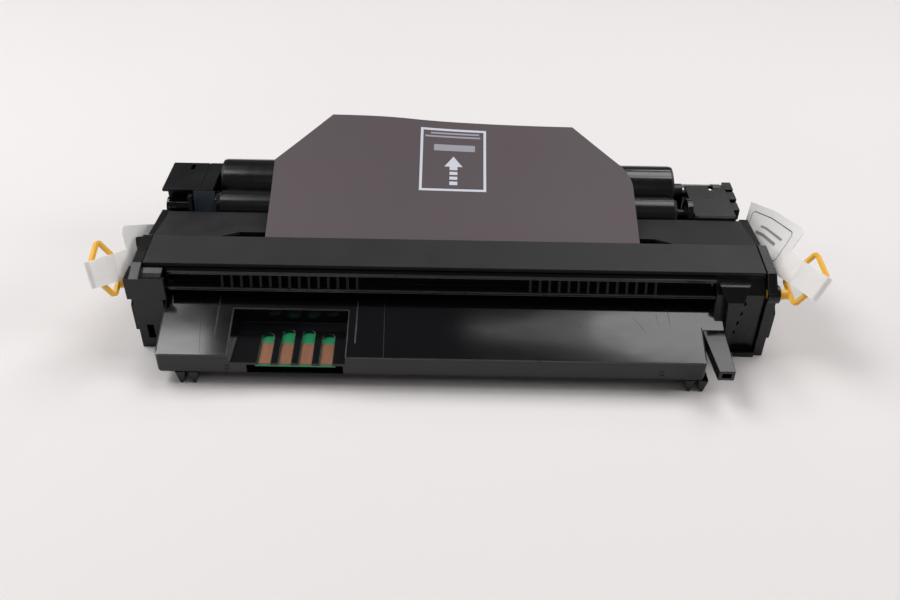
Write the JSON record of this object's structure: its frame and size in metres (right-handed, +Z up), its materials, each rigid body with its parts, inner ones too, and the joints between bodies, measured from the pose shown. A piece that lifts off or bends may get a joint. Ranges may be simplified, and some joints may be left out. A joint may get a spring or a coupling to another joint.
{
  "type": "toner cartridge",
  "caption": "Long black toner cartridge with an exposed drum, ribbed front, chip recess, yellow pull rings with tags and a protective sheet.",
  "frame": {"origin": "under the middle of the whole, on the surface it stands on", "axes": "+X along the rollers to the cartridge's right, +Y from the chip side to the drum side, +Z up"},
  "size_m": [0.3704, 0.153, 0.0834],
  "materials": {
    "black_gloss": "gloss black moulding",
    "black_matte": "satin black moulding",
    "cover_grey": "fine grained charcoal",
    "sheet_grey": "matt stiff film",
    "film_blue": "translucent film",
    "screw_steel": "zinc plated",
    "plate_steel": "plain sheet",
    "shaft_steel": "ground",
    "spring_steel": "drawn wire",
    "rubber": "moulded",
    "roller_rubber": "ground smooth",
    "foam": "open foam",
    "felt": "felt",
    "bush_plastic": "natural",
    "gear_plastic": "moulded",
    "drum_coat": "coated aluminium tube",
    "clear_film": "thin film",
    "board_green": "solder mask",
    "copper": "copper pads",
    "brass": "spring strip",
    "yellow": "moulded",
    "card_white": "coated card"
  },
  "bodies": {
    "housing": {"toner_hopper": "black_gloss", "inner_lid": "black_matte", "top_cover": "cover_grey", "protective_sheet": "sheet_grey", "gear_film": "film_blue", "left_end_cap": "black_matte", "gear_plate": "black_matte", "left_drum_bracket": "black_matte", "developer_pivot": "black_gloss", "right_side_frame": "black_matte", "right_end_cap": "black_matte", "right_drum_bracket": "black_matte", "end_cap_screws": "screw_steel", "fill_plug": "black_matte", "drum_frame": "black_matte", "cleaning_blade": "rubber", "cleaning_blade_bracket": "plate_steel", "cleaning_bracket_screws": "screw_steel", "doctor_blade": "plate_steel", "doctor_blade_bracket": "plate_steel", "doctor_bracket_screws": "screw_steel", "chip_board": "board_green", "chip_contacts": "copper", "bias_contact": "brass", "drum_shaft": "shaft_steel", "developer_end_seals": "felt", "developer_bush_left": "bush_plastic", "developer_bush_right": "bush_plastic", "supply_bush_left": "bush_plastic", "supply_bush_right": "bush_plastic", "charge_bearing_left": "bush_plastic", "charge_bearing_right": "bush_plastic", "charge_springs": "spring_steel"},
    "drum": {"photoconductor_drum": "drum_coat", "drum_gear": "gear_plastic", "drum_end_flange": "gear_plastic"},
    "lower_idler": {"lower_idler_gear": "gear_plastic"},
    "upper_idler": {"upper_idler_gear": "gear_plastic"},
    "developer": {"developer_roller": "roller_rubber", "developer_shaft": "shaft_steel", "developer_gear": "gear_plastic"},
    "supply": {"supply_roller": "foam", "supply_shaft": "shaft_steel", "supply_gear": "gear_plastic"},
    "agitator": {"agitator_shaft": "black_matte", "agitator_film": "clear_film", "agitator_gear": "gear_plastic"},
    "charge": {"charge_roller": "roller_rubber", "charge_shaft": "shaft_steel"},
    "left_pin": {"left_lock_pin": "yellow", "left_tag": "card_white"},
    "right_pin": {"right_lock_pin": "yellow", "right_tag": "card_white"}
  },
  "joints": [
    {"name": "drum_spin", "type": "hinge", "parent": "housing", "child": "drum", "pos_m": [0, 0.0615, 0.0415], "axis": [1, 0, 0], "continuous": true},
    {"name": "lower_idler_spin", "type": "hinge", "parent": "housing", "child": "lower_idler", "pos_m": [0, 0.0615, 0.0227], "axis": [1, 0, 0], "continuous": true},
    {"name": "upper_idler_spin", "type": "hinge", "parent": "housing", "child": "upper_idler", "pos_m": [0, 0.0444, 0.02686], "axis": [1, 0, 0], "continuous": true},
    {"name": "developer_spin", "type": "hinge", "parent": "housing", "child": "developer", "pos_m": [0, 0.037, 0.0415], "axis": [1, 0, 0], "continuous": true},
    {"name": "supply_spin", "type": "hinge", "parent": "housing", "child": "supply", "pos_m": [0, 0.02321, 0.02993], "axis": [1, 0, 0], "continuous": true},
    {"name": "agitator_spin", "type": "hinge", "parent": "housing", "child": "agitator", "pos_m": [0, -0.0037, 0.02221], "axis": [1, 0, 0], "continuous": true},
    {"name": "charge_spin", "type": "hinge", "parent": "housing", "child": "charge", "pos_m": [0, 0.05456, 0.02242], "axis": [1, 0, 0], "continuous": true},
    {"name": "left_pin_pull", "type": "slide", "parent": "housing", "child": "left_pin", "axis": [-1, 0, 0], "range_m": [0, 0.012]},
    {"name": "right_pin_pull", "type": "slide", "parent": "housing", "child": "right_pin", "axis": [1, 0, 0], "range_m": [0, 0.012]}
  ],
  "couplings": [
    {"joint": "lower_idler_spin", "follows": "drum_spin", "ratio": -1.1364},
    {"joint": "upper_idler_spin", "follows": "drum_spin", "ratio": 1.1364},
    {"joint": "developer_spin", "follows": "drum_spin", "ratio": -1.3158},
    {"joint": "supply_spin", "follows": "drum_spin", "ratio": 0.96154},
    {"joint": "agitator_spin", "follows": "drum_spin", "ratio": -0.56818},
    {"joint": "charge_spin", "follows": "drum_spin", "ratio": -3}
  ]
}
